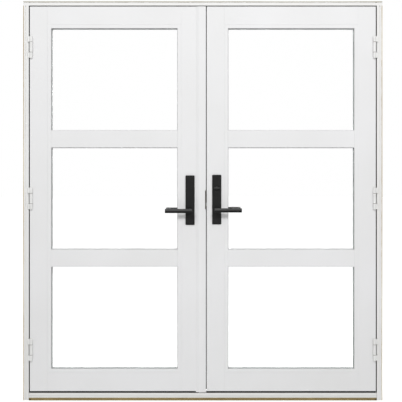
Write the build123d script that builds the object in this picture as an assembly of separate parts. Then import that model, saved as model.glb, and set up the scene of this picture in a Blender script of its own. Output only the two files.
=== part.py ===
from build123d import *
import os

# French doors in their frame: two leaves that open into the room and meet on an astragal.
# Seen from the room, X runs right, Y runs away from the room and Z runs up, in millimetres.
# The origin is the middle of the sill's underside. The right leaf is the active one.

# Frame
frame_width = 1816.0
frame_height = 2019.0
frame_depth = 116.0
jamb_face = 28.0          # thickness of a jamb beside the leaf
head_face = 22.0          # thickness of the head above the leaf
stop_rise = 13.0          # how far the stop stands past the jamb face
stop_gap = 4.0            # from the closed leaf to the stop
stop_arris = 2.0
kerf_width = 2.5          # slot in the room edge that takes a jamb extension
kerf_depth = 3.0
kerf_setback = 14.0       # from the face beside the leaf to the kerf
frame_joint = 1.0         # open joint where the sill meets the jambs
anchor_radius = 2.5       # holes for the screws that fix the jambs to the wall
anchor_spacing = 1200.0
anchor_low = 400.0
anchor_inset = 22.0       # from the weather edge of the jamb

# Sill
sill_base_height = 14.0
sill_body_height = 12.0
cap_height = 12.0
cap_depth = 54.0
cap_arris = 1.0
sill_fall_top = 31.0      # height of the slope where it leaves the cap
sill_fall_foot = 21.0     # height of the slope at the weather edge
drip_groove = 3.0
weep_width = 12.0         # notch at each end of the base that lets water out
weep_height = 5.0
weep_floor = 3.0

# Leaves
leaf_thickness = 45.0
side_gap = 5.5
head_gap = 5.0
foot_gap = 10.0
meeting_setback = 20.1    # from the middle of the frame to each leaf's meeting edge
stile_face = 89.0
top_rail_face = 91.0
bottom_rail_face = 93.0
rail_arris = 0.8

# Glazing
bead_face = 19.0
bead_arris = 1.5
bead_joint = 0.8
lip_thickness = 12.0      # fixed lip on the weather side
lip_reveal = 2.0          # how far the lip shows past the bead
lip_arris = 5.0
seal_thickness = 1.0
seal_face = 10.0
pane_thickness = 3.0
spacer_depth = 12.0
spacer_edge = 3.0
spacer_reveal = 1.5
glass_lap = 12.0          # how far the glass runs behind the bead
lite_rows = 3
bar_face = 88.0
bar_recess = 0.5
bar_arris = 1.2
outer_bar_reveal = 2.0
shadow_bar_face = 84.0

# Seals
running_gap = 0.3         # between a soft seal or a bolt and what it meets
strip_face = 10.0
strip_inset = 1.0
seal_fin_width = 2.5
seal_fin_depth = 6.0
sweep_thickness = 3.0
sweep_edge = 2.0
sweep_fin = 2.0
sweep_fins = 4

# Astragal
astragal_lap = 14.5       # how far it laps the passive leaf
astragal_rise = 6.0
astragal_edge = 1.5
astragal_drop = 5.0       # how far it hangs below the leaf
flange_gap = 2.0          # from the weather flange up to the head's stop
meeting_gap = 4.5
meeting_seal_face = 6.0
meeting_seal_inset = 5.0  # from the weather face of the leaf
meeting_seal_arris = 0.8

# Hinges
hinge_rise = 210.0        # from the foot of the leaf up to the lowest hinge
hinge_drop = 206.0        # from the top of the leaf down to the highest
hinge_inset = 7.5         # from the leaf's edge to the pin
hinge_offset = 9.0        # from the leaf's room face to the pin
knuckle_radius = 8.0
upper_knuckle = 28.0
middle_knuckle = 52.0
lower_knuckle = 28.0
knuckle_gap = 0.4
pin_radius = 4.0
fit_gap = 0.05            # radial gap of a running fit
pin_head_radius = 7.0
pin_head_height = 2.5
hinge_plate = 2.5
hinge_plate_width = 36.0

# Handles
plate_width = 45.8
plate_height = 250.0
plate_thickness = 8.0
plate_corner = 4.0
plate_bevel = 3.5
plate_bevel_drop = 2.5
active_backset = 50.2     # from the leaf's meeting edge to the spindle
passive_backset = 44.4
active_plate_z = 1016.0
passive_plate_z = 1013.0
spindle_drop = 52.0       # from the middle of the plate down to the spindle
lever_radius = 10.7
lever_length = 125.0
lever_projection = 60.0   # from the leaf's face to the middle of the grip
lever_arris = 1.0
neck_radius = 9.5
journal_radius = 9.0
journal_length = 6.0
spindle_side = 8.0
spindle_fit = 0.05
socket_depth = 22.0
spindle_bore = 6.3

# Lock
lock_height = 175.0
lock_low = 930.0
lock_thickness = 16.0
lock_depth = 71.0
mortise_gap = 0.25
faceplate_thickness = 2.5
faceplate_width = 22.0
faceplate_height = 225.0
latch_z = 990.0
latch_height = 18.0
latch_thickness = 12.0
latch_throw = 12.7
latch_length = 40.0
deadbolt_z = 1038.0
deadbolt_height = 28.0
deadbolt_thickness = 14.0
deadbolt_throw = 20.0
deadbolt_length = 46.0
turn_rise = 57.5          # from the middle of the plate up to the thumbturn
turn_width = 35.0
turn_height = 12.0
turn_grip = 14.0
turn_arris = 1.5
turn_collar_radius = 9.0
turn_collar = 3.0
turn_journal = 5.0
tail_radius = 2.5
tail_bore = 3.0
cylinder_radius = 9.0
cylinder_proud = 1.5
cylinder_gap = 0.5        # from the key cylinder to the lock case
keyway_width = 1.6
keyway_height = 8.0
keyway_depth = 7.0
strike_thickness = 2.5
strike_width = 22.0
strike_low = 967.0
strike_height = 95.0
strike_lip = 3.6
strike_proud = 1.5

# Shoot bolts of the passive leaf
rod_inset = 11.0          # from the leaf's meeting edge
rod_radius = 5.0
rod_setback = 1.0         # how far the tip lies inside the leaf when drawn
rod_seat = 30.0           # how far the rod runs into the gear case
rod_travel = 20.0
keeper_thickness = 2.0
keeper_length = 60.0
keeper_width = 22.0
keeper_bore_gap = 0.8
keeper_well = 3.0         # room past the tip of a thrown rod

# Planes and edges that the pieces share
half_width = frame_width / 2
room_y = -frame_depth / 2
weather_y = frame_depth / 2
leaf_y = room_y + leaf_thickness
middle_y = room_y + leaf_thickness / 2
stop_y = leaf_y + stop_gap
jamb_x = half_width - jamb_face
stop_x = jamb_x - stop_rise
head_z = frame_height - head_face
sill_body_z = sill_base_height + sill_body_height
sill_z = sill_body_z + cap_height
inner_x = meeting_setback
outer_x = jamb_x - side_gap
low_z = sill_z + foot_gap
high_z = head_z - head_gap
line_x = (inner_x + stile_face, outer_x - stile_face)
line_z = (low_z + bottom_rail_face, high_z - top_rail_face)
light_x = (line_x[0] + bead_face, line_x[1] - bead_face)
light_z = (line_z[0] + bead_face, line_z[1] - bead_face)
glass_depth = 2 * pane_thickness + spacer_depth
bead_depth = leaf_thickness - lip_thickness - 2 * seal_thickness - glass_depth
bead_y = room_y + bead_depth
inner_pane_y = bead_y + seal_thickness
spacer_y = inner_pane_y + pane_thickness
outer_pane_y = spacer_y + spacer_depth
outer_seal_y = outer_pane_y + pane_thickness
lip_y = leaf_y - lip_thickness
hinge_x = outer_x - hinge_inset
hinge_y = room_y - hinge_offset
hinge_height = upper_knuckle + middle_knuckle + lower_knuckle
low_hinge_z = low_z + hinge_rise
high_hinge_z = high_z - hinge_drop
hinge_heights = (low_hinge_z, (low_hinge_z + high_hinge_z) / 2, high_hinge_z)
astragal_x = meeting_setback - meeting_gap
active_spindle_x = inner_x + active_backset
passive_spindle_x = -inner_x - passive_backset
active_spindle_z = active_plate_z - spindle_drop
passive_spindle_z = passive_plate_z - spindle_drop
turn_z = active_plate_z + turn_rise
rod_x = -inner_x - rod_inset
case_x = inner_x + faceplate_thickness
cylinder_y = middle_y + lock_thickness / 2 + cylinder_gap

# Placing by the low and high limit along each axis keeps neighbours face to face
low_corner = (Align.MIN, Align.MIN, Align.MIN)
on_end = (Align.CENTER, Align.CENTER, Align.MIN)


def block(x_range, y_range, z_range):
    spans = [high - low for low, high in (x_range, y_range, z_range)]
    return Pos(x_range[0], y_range[0], z_range[0]) * Box(*spans, align=low_corner)


def about(middle, width):
    return (middle - width / 2, middle + width / 2)


def grown(limits, margin):
    return (limits[0] - margin, limits[1] + margin)


def post(x, y, z_range, radius):
    return Pos(x, y, z_range[0]) * Cylinder(radius, z_range[1] - z_range[0], align=on_end)


def rod_through(x, z, y_range, radius):
    along_y = Pos(x, y_range[0], z) * Rot(-90, 0, 0)
    return along_y * Cylinder(radius, y_range[1] - y_range[0], align=on_end)


def rod_across(y, z, x_range, radius):
    along_x = Pos(x_range[0], y, z) * Rot(0, 90, 0)
    return along_x * Cylinder(radius, x_range[1] - x_range[0], align=on_end)


def upright(points, z_range):
    section = Pos(0, 0, z_range[0]) * make_face(Polyline(*points, close=True))
    return extrude(section, z_range[1] - z_range[0])


def lengthwise(points, x_range):
    section = Plane.YZ.offset(x_range[0]) * make_face(Polyline(*points, close=True))
    return extrude(section, x_range[1] - x_range[0])


def facing(points, y_range):
    section = Plane.XZ.offset(-y_range[1]) * make_face(Polyline(*points, close=True))
    return extrude(section, y_range[1] - y_range[0])


def ease(solid, point, size):
    return chamfer(solid.edges().sort_by_distance(point)[0], size)


def ease_round(solid, point, size):
    circles = solid.edges().filter_by(GeomType.CIRCLE)
    return chamfer(circles.sort_by_distance(point)[0], size)


def ring(x_range, z_range, width, y_range):
    return block(x_range, y_range, z_range) - block(
        grown(x_range, -width), y_range, grown(z_range, -width))


def mitred_sides(x_range, z_range, width, y_range):
    x0, x1 = x_range
    z0, z1 = z_range
    outer = [(x0, z0), (x0, z1), (x1, z1), (x1, z0)]
    inner = [(x0 + width, z0 + width), (x0 + width, z1 - width),
             (x1 - width, z1 - width), (x1 - width, z0 + width)]
    names = ("low_x", "top", "high_x", "bottom")
    sides = {}
    for turn, name in enumerate(names):
        after = (turn + 1) % 4
        corners = (outer[turn], outer[after], inner[after], inner[turn])
        sides[name] = facing(corners, y_range)
    return sides


def mirrored(shape):
    return mirror(shape, about=Plane.YZ)


def to_weather_side(shape):
    return mirror(shape, about=Plane.XZ.offset(-middle_y))


def group(solids):
    return Compound([solid for shape in solids for solid in shape.solids()])


parts = {}


# Frame: the jambs run to the floor and the head lies over them
def make_jamb():
    section = [
        (half_width, room_y), (jamb_x, room_y), (jamb_x, stop_y), (stop_x, stop_y),
        (stop_x, weather_y - stop_arris), (stop_x + stop_arris, weather_y),
        (half_width, weather_y)]
    jamb = upright(section, (0, head_z))
    kerf_x = jamb_x + kerf_setback
    jamb -= block((kerf_x, kerf_x + kerf_width), (room_y, room_y + kerf_depth), (0, head_z))
    strip_x = jamb_x - strip_inset - strip_face / 2
    jamb -= block(about(strip_x, seal_fin_width), (stop_y, stop_y + seal_fin_depth), (sill_z, head_z))
    for hole_z in (anchor_low, anchor_low + anchor_spacing):
        jamb -= rod_across(weather_y - anchor_inset, hole_z, (stop_x, half_width), anchor_radius)
    for hinge_z in hinge_heights:
        jamb -= block((jamb_x, jamb_x + hinge_plate), (room_y, room_y + hinge_plate_width),
                      about(hinge_z, hinge_height))
    return jamb


def make_head():
    run = (-half_width, half_width)
    head = block(run, (room_y, weather_y), (head_z, frame_height))
    stop_section = [
        (stop_y, head_z), (stop_y, head_z - stop_rise), (weather_y - stop_arris, head_z - stop_rise),
        (weather_y, head_z - stop_rise + stop_arris), (weather_y, head_z)]
    head += lengthwise(stop_section, (-stop_x, stop_x))
    kerf_z = head_z + kerf_setback
    head -= block(run, (room_y, room_y + kerf_depth), (kerf_z, kerf_z + kerf_width))
    strip_z = head_z - strip_inset - strip_face / 2
    head -= block((-stop_x, stop_x), (stop_y, stop_y + seal_fin_depth), about(strip_z, seal_fin_width))
    head -= block(about(rod_x, keeper_length), about(middle_y, keeper_width),
                  (head_z, head_z + keeper_thickness))
    well_top = high_z - rod_setback + rod_travel + keeper_well
    head -= post(rod_x, middle_y, (head_z, well_top), rod_radius + keeper_bore_gap)
    return head


parts["right_jamb"] = make_jamb()
parts["left_jamb"] = mirrored(parts["right_jamb"])
parts["head_jamb"] = make_head()


# Sill: a wood base, an extrusion that falls to the weather side and a cap under the leaves
def between_jambs(points):
    wide = lengthwise(points, grown((-jamb_x, jamb_x), -frame_joint))
    narrow = lengthwise(points, grown((-stop_x, stop_x), -frame_joint))
    front = (room_y, stop_y - frame_joint)
    tall = (0, frame_height)
    return (wide & block((-half_width, half_width), front, tall)) + (
        narrow & block((-half_width, half_width), (front[1], weather_y), tall))


cap_y = room_y + cap_depth
sill_base_section = [
    (room_y, 0), (room_y, sill_base_height), (weather_y, sill_base_height), (weather_y, drip_groove),
    (weather_y - drip_groove, 0)]
sill_section = [
    (room_y, sill_base_height), (room_y, sill_body_z), (cap_y, sill_body_z), (cap_y, sill_fall_top),
    (weather_y, sill_fall_foot), (weather_y, sill_base_height)]
cap_section = [
    (room_y + cap_arris, sill_body_z), (room_y, sill_body_z + cap_arris), (room_y, sill_z - cap_arris),
    (room_y + cap_arris, sill_z), (cap_y - cap_arris, sill_z), (cap_y, sill_z - cap_arris),
    (cap_y, sill_body_z)]
sill_base = between_jambs(sill_base_section)
for edges in ((-jamb_x, weep_width - jamb_x), (jamb_x - weep_width, jamb_x)):
    sill_base -= block(edges, (room_y, stop_y), (weep_floor, weep_floor + weep_height))
parts["sill_base"] = sill_base
parts["sill"] = between_jambs(sill_section)
keeper_well_low = low_z + rod_setback - rod_travel - keeper_well
parts["threshold_cap"] = between_jambs(cap_section) - block(
    about(rod_x, keeper_length), about(middle_y, keeper_width), (sill_z - keeper_thickness, sill_z))
for sill_part in ("threshold_cap", "sill"):
    parts[sill_part] -= post(rod_x, middle_y, (keeper_well_low, sill_z), rod_radius + keeper_bore_gap)


# Keepers: plates let into the head and the cap, with a hole for the thrown rod
def make_keeper(z_range):
    keeper = block(about(rod_x, keeper_length), about(middle_y, keeper_width), z_range)
    return keeper - post(rod_x, middle_y, z_range, rod_radius + running_gap)


parts["head_keeper"] = make_keeper((head_z, head_z + keeper_thickness))
parts["sill_keeper"] = make_keeper((sill_z - keeper_thickness, sill_z))


# Weatherstrips: a soft bulb on each stop, held by a fin in its kerf
def make_side_strip():
    strip_x = jamb_x - strip_inset - strip_face / 2
    run = (sill_z, head_z - stop_rise)
    bulb = block(about(strip_x, strip_face), (leaf_y + running_gap, stop_y), run)
    for corner_x in about(strip_x, strip_face):
        bulb = ease(bulb, (corner_x, leaf_y + running_gap, sum(run) / 2), stop_gap / 2)
    fin_y = (stop_y, stop_y + seal_fin_depth)
    return bulb + block(about(strip_x, seal_fin_width), fin_y, run)


def make_head_strip():
    strip_z = head_z - strip_inset - strip_face / 2
    run = (-stop_x, stop_x)
    bulb = block(run, (leaf_y + running_gap, stop_y), about(strip_z, strip_face))
    for corner_z in about(strip_z, strip_face):
        bulb = ease(bulb, (0, leaf_y + running_gap, corner_z), stop_gap / 2)
    fin_y = (stop_y, stop_y + seal_fin_depth)
    return bulb + block(run, fin_y, about(strip_z, seal_fin_width))


side_strip = make_side_strip()
parts["frame_weatherstrips"] = group([mirrored(side_strip), make_head_strip(), side_strip])


# Leaf joinery: full-height stiles, rails between them, and a fixed lip on the weather side
def make_lips():
    sides = mitred_sides(line_x, line_z, bead_face + lip_reveal, (lip_y, leaf_y))
    edge = bead_face + lip_reveal
    middle_x = sum(line_x) / 2
    middle_z = sum(line_z) / 2
    spots = {
        "low_x": (line_x[0] + edge, leaf_y, middle_z), "high_x": (line_x[1] - edge, leaf_y, middle_z),
        "bottom": (middle_x, leaf_y, line_z[0] + edge), "top": (middle_x, leaf_y, line_z[1] - edge)}
    return {name: ease(side, spots[name], lip_arris) for name, side in sides.items()}


lips = make_lips()
leaf_depth = (room_y, leaf_y)


def make_rail(z_range, lip):
    rail = block(line_x, leaf_depth, z_range)
    for end_x in line_x:
        rail = ease(rail, (end_x, room_y, sum(z_range) / 2), rail_arris)
    return rail + lip


top_rail = make_rail((line_z[1], high_z), lips["top"])
bottom_rail = make_rail((low_z, line_z[0]), lips["bottom"])
meeting_stile = block((inner_x, line_x[0]), leaf_depth, (low_z, high_z)) + lips["low_x"]
hinge_stile = block((line_x[1], outer_x), leaf_depth, (low_z, high_z)) + lips["high_x"]
for hinge_z in hinge_heights:
    hinge_stile -= block((outer_x - hinge_plate, outer_x), (room_y, room_y + hinge_plate_width),
                         about(hinge_z, hinge_height))

parts["right_top_rail"] = top_rail
parts["right_bottom_rail"] = bottom_rail
parts["right_hinge_stile"] = hinge_stile
parts["left_top_rail"] = mirrored(top_rail)
parts["left_bottom_rail"] = mirrored(bottom_rail)
parts["left_hinge_stile"] = mirrored(hinge_stile)


# Glazing: one sealed unit a leaf, divided by bars on both panes and a grid between them
glass_x = grown(light_x, glass_lap)
glass_z = grown(light_z, glass_lap)
lite_height = (light_z[1] - light_z[0] - (lite_rows - 1) * bar_face) / lite_rows
bar_middles = [light_z[0] + row * (lite_height + bar_face) - bar_face / 2 for row in range(1, lite_rows)]


def make_beads():
    sides = mitred_sides(line_x, line_z, bead_face, (room_y, bead_y))
    middle_x = sum(line_x) / 2
    middle_z = sum(line_z) / 2
    inner_spots = {
        "low_x": (light_x[0], room_y, middle_z), "high_x": (light_x[1], room_y, middle_z),
        "bottom": (middle_x, room_y, light_z[0]), "top": (middle_x, room_y, light_z[1])}
    outer_spots = {
        "low_x": (line_x[0], room_y, middle_z), "high_x": (line_x[1], room_y, middle_z),
        "bottom": (middle_x, room_y, line_z[0]), "top": (middle_x, room_y, line_z[1])}
    beads = []
    for name, side in sides.items():
        side = ease(side, inner_spots[name], bead_arris)
        beads.append(ease(side, outer_spots[name], bead_joint))
    return group(beads)


def make_bar(z_middle, height, y_range, faces_room):
    bar = block(light_x, y_range, about(z_middle, height))
    face_y = y_range[0] if faces_room else y_range[1]
    for edge_z in about(z_middle, height):
        bar = ease(bar, (sum(light_x) / 2, face_y, edge_z), bar_arris)
    return bar


def make_bars():
    bars = []
    for z_middle in bar_middles:
        bars.append(make_bar(z_middle, bar_face, (room_y + bar_recess, inner_pane_y), True))
        outer_face = bar_face + 2 * outer_bar_reveal
        outer_bar = make_bar(z_middle, outer_face, (outer_seal_y, leaf_y - bar_recess), False)
        bars.append(outer_bar & block(grown(light_x, -lip_reveal), leaf_depth, (low_z, high_z)))
    return group(bars)


def make_spacer():
    spacer_x = grown(glass_x, -spacer_edge)
    spacer_z = grown(glass_z, -spacer_edge)
    width = glass_lap - spacer_edge + spacer_reveal
    grid = ring(spacer_x, spacer_z, width, (spacer_y, outer_pane_y))
    for z_middle in bar_middles:
        grid += block(light_x, (spacer_y, outer_pane_y), about(z_middle, shadow_bar_face))
    return grid


glazing = {
    "inner_pane": block(glass_x, (inner_pane_y, spacer_y), glass_z),
    "outer_pane": block(glass_x, (outer_pane_y, outer_seal_y), glass_z),
    "spacer_grid": make_spacer(),
    "glazing_beads": make_beads(),
    "divider_bars": make_bars(),
    "glazing_seals": group([
        ring(glass_x, glass_z, seal_face, (bead_y, inner_pane_y)),
        ring(glass_x, glass_z, seal_face, (outer_seal_y, lip_y))])}
for name, shape in glazing.items():
    parts["right_" + name] = shape
    parts["left_" + name] = mirrored(shape)


# Sweeps: a carrier under each leaf with fins that wipe the cap
def make_sweep():
    carrier_y = grown(leaf_depth, -sweep_edge)
    sweep = block((inner_x, outer_x), carrier_y, (low_z - sweep_thickness, low_z))
    pitch = (carrier_y[1] - carrier_y[0] - sweep_fin) / (sweep_fins - 1)
    for step in range(sweep_fins):
        fin_y = carrier_y[0] + step * pitch
        sweep += block((inner_x, outer_x), (fin_y, fin_y + sweep_fin), (sill_z + running_gap, low_z))
    return sweep


parts["right_door_sweep"] = make_sweep()
parts["left_door_sweep"] = mirrored(parts["right_door_sweep"]) - post(
    rod_x, middle_y, (sill_z, low_z), rod_radius + keeper_bore_gap)


# Hinges: the outer knuckles belong to the frame, the middle one to the leaf
def knuckle_spans(hinge_z):
    top = hinge_z + hinge_height / 2
    upper_joint = top - upper_knuckle
    lower_joint = upper_joint - middle_knuckle
    bottom = lower_joint - lower_knuckle
    upper = (upper_joint + knuckle_gap / 2, top)
    middle = (lower_joint + knuckle_gap / 2, upper_joint - knuckle_gap / 2)
    lower = (bottom, lower_joint - knuckle_gap / 2)
    return upper, middle, lower


def make_frame_leaf(hinge_z):
    upper, middle, lower = knuckle_spans(hinge_z)
    plate_x = (jamb_x, jamb_x + hinge_plate)
    leaf = block(plate_x, (room_y, room_y + hinge_plate_width), (lower[0], upper[1]))
    for span in (upper, lower):
        leaf += block(plate_x, (hinge_y - hinge_plate / 2, room_y), span)
        leaf += block((hinge_x, plate_x[1]), about(hinge_y, hinge_plate), span)
        leaf += post(hinge_x, hinge_y, span, knuckle_radius)
    return leaf - post(hinge_x, hinge_y, (lower[0], upper[1]), pin_radius + fit_gap)


def make_door_leaf(hinge_z):
    upper, middle, lower = knuckle_spans(hinge_z)
    plate_x = (outer_x - hinge_plate, outer_x)
    leaf = block(plate_x, (room_y, room_y + hinge_plate_width), (lower[0], upper[1]))
    leaf += block(plate_x, (hinge_y, room_y), middle)
    leaf += post(hinge_x, hinge_y, middle, knuckle_radius)
    return leaf - post(hinge_x, hinge_y, middle, pin_radius + fit_gap)


def make_pin(hinge_z):
    upper, middle, lower = knuckle_spans(hinge_z)
    pin = post(hinge_x, hinge_y, (lower[0], upper[1]), pin_radius)
    heads = ((upper[1], upper[1] + pin_head_height), (lower[0] - pin_head_height, lower[0]))
    for span in heads:
        pin += post(hinge_x, hinge_y, span, pin_head_radius)
    for tip_z in (heads[0][1], heads[1][0]):
        pin = ease_round(pin, (hinge_x + pin_head_radius, hinge_y, tip_z), pin_head_height / 2)
    return pin


hinge_pieces = {"hinge_frame_leaves": make_frame_leaf, "hinge_door_leaves": make_door_leaf,
                "hinge_pins": make_pin}
for name, make_piece in hinge_pieces.items():
    parts["right_" + name] = group([make_piece(hinge_z) for hinge_z in hinge_heights])
    parts["left_" + name] = mirrored(parts["right_" + name])


# Astragal: a strip on the passive leaf that closes the space between the leaves
lap_x = -inner_x - astragal_lap
astragal_span = (low_z - astragal_drop, high_z)
flange_span = (astragal_span[0], head_z - stop_rise - flange_gap)
astragal_section = [
    (lap_x, room_y), (lap_x, room_y - astragal_edge), (-inner_x, room_y - astragal_rise),
    (astragal_x, room_y - astragal_rise), (astragal_x, leaf_y), (-inner_x, leaf_y), (-inner_x, room_y)]
seal_y = leaf_y - meeting_seal_inset
strike_span = (strike_low, strike_low + strike_height)
strike_room_y = room_y - astragal_rise
strike_back_y = middle_y + strike_width / 2


def make_pocket(middle_z, height, thickness, throw, back_x):
    tip_x = inner_x - throw
    return block((tip_x - running_gap, back_x), about(middle_y, thickness + 2 * running_gap),
                 about(middle_z, height + 2 * running_gap))


def bolt_pockets(back_x):
    latch = make_pocket(latch_z, latch_height, latch_thickness, latch_throw, back_x)
    dead = make_pocket(deadbolt_z, deadbolt_height, deadbolt_thickness, deadbolt_throw, back_x)
    return latch, dead


def make_astragal():
    astragal = upright(astragal_section, astragal_span)
    astragal += block((lap_x, astragal_x), (leaf_y, leaf_y + astragal_rise), flange_span)
    seal_fin = (astragal_x - seal_fin_depth, astragal_x)
    astragal -= block(seal_fin, about(seal_y, seal_fin_width), (low_z, high_z))
    astragal -= block((astragal_x - strike_thickness, astragal_x), (strike_room_y, strike_back_y), strike_span)
    for pocket in bolt_pockets(astragal_x):
        astragal -= pocket
    return astragal


def make_astragal_seal():
    bulb_x = (astragal_x, inner_x - running_gap)
    bulb = block(bulb_x, about(seal_y, meeting_seal_face), (low_z, high_z))
    for corner_y in about(seal_y, meeting_seal_face):
        bulb = ease(bulb, (bulb_x[1], corner_y, sum(line_z) / 2), meeting_seal_arris)
    return bulb + block((astragal_x - seal_fin_depth, astragal_x), about(seal_y, seal_fin_width),
                        (low_z, high_z))


def make_strike():
    strike = block((astragal_x - strike_thickness, astragal_x), (strike_room_y, strike_back_y), strike_span)
    strike += block((astragal_x - strike_lip, astragal_x),
                    (strike_room_y - strike_proud, strike_room_y), strike_span)
    for pocket in bolt_pockets(astragal_x):
        strike -= pocket
    return strike


parts["astragal"] = make_astragal()
parts["astragal_seal"] = make_astragal_seal()
parts["strike_plate"] = make_strike()


# Handle plates and levers, made for the room side and reflected to the weather side
def make_plate(x, z):
    outline = Plane.XZ.offset(-room_y) * Pos(x, z, 0) * RectangleRounded(
        plate_width, plate_height, plate_corner)
    plate = extrude(outline, plate_thickness)
    front = plate.faces().sort_by(Axis.Y)[0]
    plate = chamfer(front.edges(), plate_bevel_drop, plate_bevel)
    through = (room_y - plate_thickness, room_y)
    spindle_z = z - spindle_drop
    journal_end = room_y - plate_thickness + journal_length
    plate -= rod_through(x, spindle_z, through, spindle_bore)
    return plate - rod_through(x, spindle_z, (through[0], journal_end), journal_radius + fit_gap)


plate_front = room_y - plate_thickness
grip_y = room_y - lever_projection


def make_lever(x, z, toward):
    ends = sorted((x - toward * lever_radius, x + toward * lever_length))
    grip = rod_across(grip_y, z, ends, lever_radius)
    for end_x in ends:
        grip = ease_round(grip, (end_x, grip_y, z + lever_radius), lever_arris)
    lever = grip + rod_through(x, z, (grip_y, plate_front - running_gap), neck_radius)
    lever += rod_through(x, z, (grip_y, plate_front + journal_length - running_gap), journal_radius)
    socket_y = plate_front + journal_length - running_gap
    socket_side = spindle_side + 2 * spindle_fit
    return lever - block(about(x, socket_side), (socket_y - socket_depth, socket_y), about(z, socket_side))


def make_spindle(x, z):
    inside_end = plate_front + journal_length - running_gap - socket_depth
    outside_end = 2 * middle_y - inside_end
    return block(about(x, spindle_side), (inside_end, outside_end), about(z, spindle_side))


handles = {
    "right": (active_spindle_x, active_plate_z, 1),
    "left": (passive_spindle_x, passive_plate_z, -1)}
for side, (handle_x, plate_z, toward) in handles.items():
    lever = make_lever(handle_x, plate_z - spindle_drop, toward)
    parts[side + "_inside_lever"] = lever
    parts[side + "_outside_lever"] = to_weather_side(lever)
    parts[side + "_spindle"] = make_spindle(handle_x, plate_z - spindle_drop)
    plate = make_plate(handle_x, plate_z)
    parts[side + "_inside_plate"] = plate
    parts[side + "_outside_plate"] = to_weather_side(plate)


# Thumbturn and key cylinder of the active leaf
def make_turn():
    lens = make_face(ThreePointArc((-turn_width / 2, 0), (0, turn_height / 2), (turn_width / 2, 0))
                     + ThreePointArc((turn_width / 2, 0), (0, -turn_height / 2), (-turn_width / 2, 0)))
    collar_front = plate_front - running_gap - turn_collar
    place = Plane.XZ.offset(-collar_front) * Pos(active_spindle_x, turn_z, 0)
    grip = extrude(place * lens, turn_grip)
    grip = chamfer(grip.faces().sort_by(Axis.Y)[0].edges(), turn_arris)
    turn = grip + rod_through(active_spindle_x, turn_z, (collar_front, plate_front - running_gap),
                              turn_collar_radius)
    turn += rod_through(active_spindle_x, turn_z, (collar_front, room_y), turn_journal)
    return turn + rod_through(
        active_spindle_x, turn_z, (room_y, cylinder_y - running_gap), tail_radius)


def make_key_cylinder():
    front = leaf_y + plate_thickness + cylinder_proud
    body = rod_through(active_spindle_x, turn_z, (cylinder_y, front), cylinder_radius)
    body = ease_round(body, (active_spindle_x + cylinder_radius, front, turn_z), cylinder_proud / 2)
    return body - block(about(active_spindle_x, keyway_width), (front - keyway_depth, front),
                        about(turn_z, keyway_height))


parts["thumbturn"] = make_turn()
parts["key_cylinder"] = make_key_cylinder()
parts["right_inside_plate"] -= rod_through(
    active_spindle_x, turn_z, (plate_front, room_y), turn_journal + fit_gap)
parts["right_outside_plate"] -= rod_through(
    active_spindle_x, turn_z, (leaf_y, leaf_y + plate_thickness), cylinder_radius + running_gap)


# Lock of the active leaf: a case behind a faceplate, with the latch out and the deadbolt in
case_span = (lock_low, lock_low + lock_height)
lock_x = (case_x, case_x + lock_depth)
lock_y = about(middle_y, lock_thickness)


def make_bolt(middle_z, height, thickness, x_range):
    return block(x_range, about(middle_y, thickness), about(middle_z, height))


def make_latch():
    tip_x = inner_x - latch_throw
    room_side = middle_y - latch_thickness / 2
    weather_side = middle_y + latch_thickness / 2
    back_x = tip_x + latch_length
    section = [(tip_x, room_side), (inner_x, weather_side), (back_x, weather_side), (back_x, room_side)]
    return upright(section, about(latch_z, latch_height))


def bolt_channels():
    latch_back = inner_x - latch_throw + latch_length + latch_throw
    dead_back = inner_x + running_gap + deadbolt_length
    latch = make_bolt(latch_z, latch_height + 2 * running_gap, latch_thickness + 2 * running_gap,
                      (inner_x, latch_back + running_gap))
    dead = make_bolt(deadbolt_z, deadbolt_height + 2 * running_gap, deadbolt_thickness + 2 * running_gap,
                     (inner_x, dead_back + running_gap))
    return latch, dead


def make_faceplate(margin):
    width = faceplate_width + 2 * margin
    height = faceplate_height + 2 * margin
    outline = Plane.YZ.offset(inner_x) * Pos(middle_y, sum(case_span) / 2, 0) * SlotOverall(height, width, 90)
    return extrude(outline, faceplate_thickness)


lock_case = block(lock_x, lock_y, case_span)
faceplate = make_faceplate(0)
for channel in bolt_channels():
    lock_case -= channel
    faceplate -= channel
lock_case -= rod_through(active_spindle_x, active_spindle_z, lock_y, spindle_bore)
lock_case -= rod_through(active_spindle_x, turn_z, lock_y, tail_bore)
parts["lock_case"] = lock_case
parts["lock_faceplate"] = faceplate
parts["latch_bolt"] = make_latch()
parts["deadbolt"] = make_bolt(
    deadbolt_z, deadbolt_height, deadbolt_thickness,
    (inner_x + running_gap, inner_x + running_gap + deadbolt_length))

mortise_x = (inner_x, lock_x[1] + mortise_gap)
mortise = block(mortise_x, grown(lock_y, mortise_gap), grown(case_span, mortise_gap))
right_stile = meeting_stile - mortise - make_faceplate(mortise_gap)
right_stile -= rod_through(active_spindle_x, active_spindle_z, leaf_depth, spindle_bore)
right_stile -= rod_through(active_spindle_x, turn_z, (room_y, middle_y), turn_journal + fit_gap)
right_stile -= rod_through(active_spindle_x, turn_z, (middle_y, leaf_y), cylinder_radius + running_gap)
parts["right_meeting_stile"] = right_stile


# Gear and shoot bolts of the passive leaf: the lever throws one rod up and one rod down
gear_x = (-lock_x[1], -inner_x)
gear_case = block(gear_x, lock_y, case_span)
gear_case -= rod_through(passive_spindle_x, passive_spindle_z, lock_y, spindle_bore)
rod_bores = ((case_span[1] - rod_seat - rod_travel, case_span[1]),
             (case_span[0], case_span[0] + rod_seat + rod_travel))
rod_spans = {
    "top_shoot_bolt": (case_span[1] - rod_seat, high_z - rod_setback),
    "bottom_shoot_bolt": (low_z + rod_setback, case_span[0] + rod_seat)}
for span in rod_bores:
    gear_case -= post(rod_x, middle_y, span, rod_radius + fit_gap)
parts["gear_case"] = gear_case

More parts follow.
